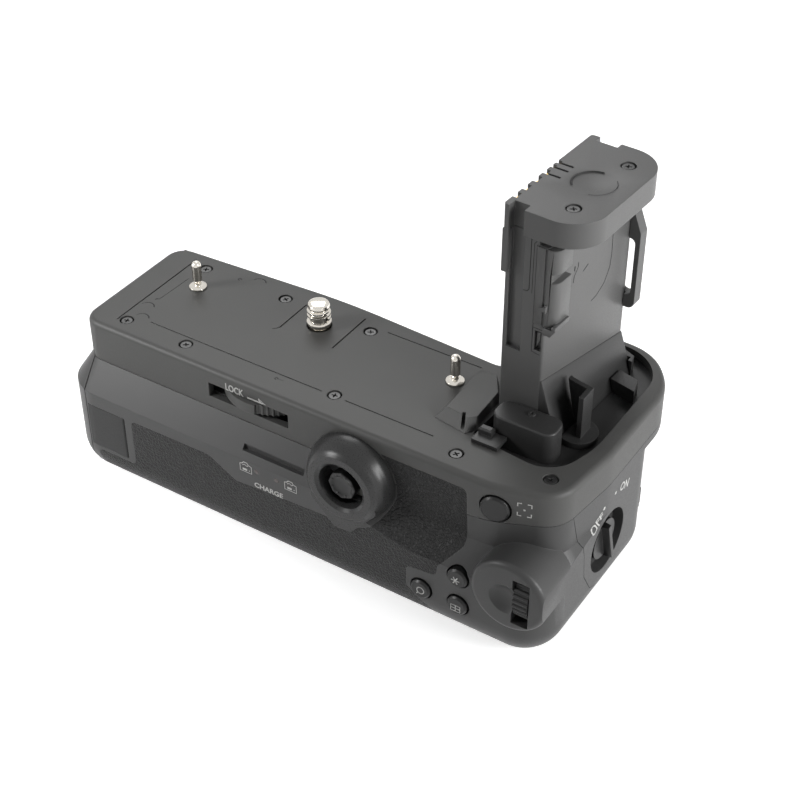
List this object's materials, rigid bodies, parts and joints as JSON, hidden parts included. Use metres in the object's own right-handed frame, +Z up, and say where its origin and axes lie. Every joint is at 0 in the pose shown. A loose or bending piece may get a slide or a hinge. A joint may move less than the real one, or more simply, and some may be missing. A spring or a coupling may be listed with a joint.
{
  "type": "camera battery grip",
  "caption": "Vertical grip that screws under a camera, with a battery-shaped plug, two battery bays, a lock wheel, dials, a joystick and buttons.",
  "frame": {"origin": "axis of the camera screw at the flat of the deck", "axes": "+Z up towards the camera, +X along the grip towards the battery plug and the power lever, +Y the way the lens looks"},
  "size_m": [0.1511, 0.0771, 0.1095],
  "materials": {
    "grey_shell": "satin moulded plastic, fine grain",
    "dark_shell": "satin moulded plastic, fine grain",
    "plug_plastic": "smooth moulded plastic",
    "button_plastic": "smooth plastic",
    "chamber_plastic": "plain moulded plastic",
    "gear_plastic": "acetal",
    "grip_rubber": "leather grain",
    "soft_rubber": "smooth",
    "wheel_rubber": "ribbed",
    "nickel": "bright nickel",
    "steel": "turned",
    "black_steel": "black oxide",
    "gold_contact": "gold plated",
    "board": "circuit board",
    "lamp": "tinted lens"
  },
  "bodies": {
    "housing": {"upper_shell": "grey_shell", "lower_shell": "dark_shell", "side_panel": "dark_shell", "base_plate": "dark_shell", "base_screws": "black_steel", "battery_chamber": "chamber_plastic", "battery_contacts": "gold_contact", "door_hinge_pin": "steel", "cord_cover_pin": "steel", "rear_grip_rubber": "grip_rubber", "front_grip_rubber": "grip_rubber", "main_board": "board", "charge_lamps": "lamp", "tripod_bush": "steel", "wheel_axle": "steel", "gear_plate": "steel", "locating_pins": "nickel", "deck_screws": "black_steel", "well_tray": "dark_shell", "locating_block": "dark_shell", "stop_block": "dark_shell", "hinge_boss": "grey_shell", "hook_post": "dark_shell", "far_block": "dark_shell", "plug_column": "plug_plastic", "plug_head": "plug_plastic", "plug_skirt": "plug_plastic", "plug_screws": "black_steel", "plug_terminals": "gold_contact", "plug_holder": "plug_plastic", "plug_loop": "plug_plastic", "joystick_guard": "dark_shell", "joystick_board": "board", "rear_board": "board", "focus_board": "board", "rear_dial_axle": "steel", "main_dial_axle": "steel", "shutter_ring": "dark_shell", "front_board": "board"},
    "lock_wheel": {"lock_wheel": "wheel_rubber", "wheel_gear": "gear_plastic"},
    "camera_screw": {"camera_screw": "nickel", "screw_gear": "steel"},
    "joystick_press": {"joystick_carrier": "gear_plastic"},
    "joystick_ring": {"joystick_ring": "gear_plastic"},
    "joystick": {"joystick_stem": "steel", "joystick_cap": "button_plastic"},
    "focus_button": {"focus_button": "button_plastic"},
    "star_button": {"star_button": "button_plastic"},
    "grid_button": {"grid_button": "button_plastic"},
    "magnifier_button": {"magnifier_button": "button_plastic"},
    "shutter_button": {"shutter_button": "button_plastic"},
    "function_button": {"function_button": "button_plastic"},
    "rear_dial": {"rear_dial": "wheel_rubber"},
    "main_dial": {"main_dial": "wheel_rubber"},
    "power_lever": {"power_lever": "button_plastic"},
    "battery_door": {"battery_door": "dark_shell"},
    "door_latch": {"door_latch": "dark_shell"},
    "cord_cover": {"cord_cover": "soft_rubber"}
  },
  "joints": [
    {"name": "lock_wheel_spin", "type": "hinge", "parent": "housing", "child": "lock_wheel", "pos_m": [0, -0.0186, -0.006], "axis": [0, 0, 1], "continuous": true},
    {"name": "camera_screw_spin", "type": "hinge", "parent": "housing", "child": "camera_screw", "pos_m": [0, 0, 0], "axis": [0, 0, 1], "continuous": true},
    {"name": "joystick_press", "type": "slide", "parent": "housing", "child": "joystick_press", "axis": [0, 1, 0], "range_m": [0, 0.0004], "stiffness_N_per_m": 3000},
    {"name": "joystick_up_down", "type": "hinge", "parent": "joystick_press", "child": "joystick_ring", "pos_m": [0.0318, -0.028, -0.0142], "axis": [1, 0, 0], "range_deg": [-8, 8], "stiffness_Nm_per_rad": 0.02},
    {"name": "joystick_left_right", "type": "hinge", "parent": "joystick_ring", "child": "joystick", "pos_m": [0.0318, -0.028, -0.0142], "axis": [0, 0, 1], "range_deg": [-8, 8], "stiffness_Nm_per_rad": 0.02},
    {"name": "focus_button_press", "type": "slide", "parent": "housing", "child": "focus_button", "axis": [-0.1668, 0.986, 0], "range_m": [0, 0.0006], "stiffness_N_per_m": 1500},
    {"name": "star_button_press", "type": "slide", "parent": "housing", "child": "star_button", "axis": [0, 1, 0], "range_m": [0, 0.0006], "stiffness_N_per_m": 1500},
    {"name": "grid_button_press", "type": "slide", "parent": "housing", "child": "grid_button", "axis": [0, 1, 0], "range_m": [0, 0.0006], "stiffness_N_per_m": 1500},
    {"name": "magnifier_button_press", "type": "slide", "parent": "housing", "child": "magnifier_button", "axis": [0, 1, 0], "range_m": [0, 0.0006], "stiffness_N_per_m": 1500},
    {"name": "shutter_button_press", "type": "slide", "parent": "housing", "child": "shutter_button", "axis": [-0.6881, -0.7256, 0], "range_m": [0, 0.0012], "stiffness_N_per_m": 1200},
    {"name": "function_button_press", "type": "slide", "parent": "housing", "child": "function_button", "axis": [-0.6881, -0.7256, 0], "range_m": [0, 0.0006], "stiffness_N_per_m": 1500},
    {"name": "rear_dial_spin", "type": "hinge", "parent": "housing", "child": "rear_dial", "pos_m": [0.0833, -0.0308, -0.0264], "axis": [1, 0, 0], "continuous": true},
    {"name": "main_dial_spin", "type": "hinge", "parent": "housing", "child": "main_dial", "pos_m": [0.0797, 0.0167, -0.033], "axis": [0, 0, 1], "continuous": true},
    {"name": "power_lever_turn", "type": "hinge", "parent": "housing", "child": "power_lever", "pos_m": [0.0892, -0.004, -0.029], "axis": [-1, 0, 0], "range_deg": [0, 30]},
    {"name": "battery_door_hinge", "type": "hinge", "parent": "housing", "child": "battery_door", "pos_m": [-0.0552, 0.0182, -0.03], "axis": [0, 0, -1], "range_deg": [0, 90]},
    {"name": "door_latch_slide", "type": "slide", "parent": "battery_door", "child": "door_latch", "axis": [0, -1, 0], "range_m": [0, 0.0022]},
    {"name": "cord_cover_hinge", "type": "hinge", "parent": "housing", "child": "cord_cover", "pos_m": [-0.04, -0.0359, -0.031], "axis": [0, 0, 1], "range_deg": [0, 90]}
  ],
  "couplings": [
    {"joint": "camera_screw_spin", "follows": "lock_wheel_spin", "ratio": -1.2143}
  ]
}
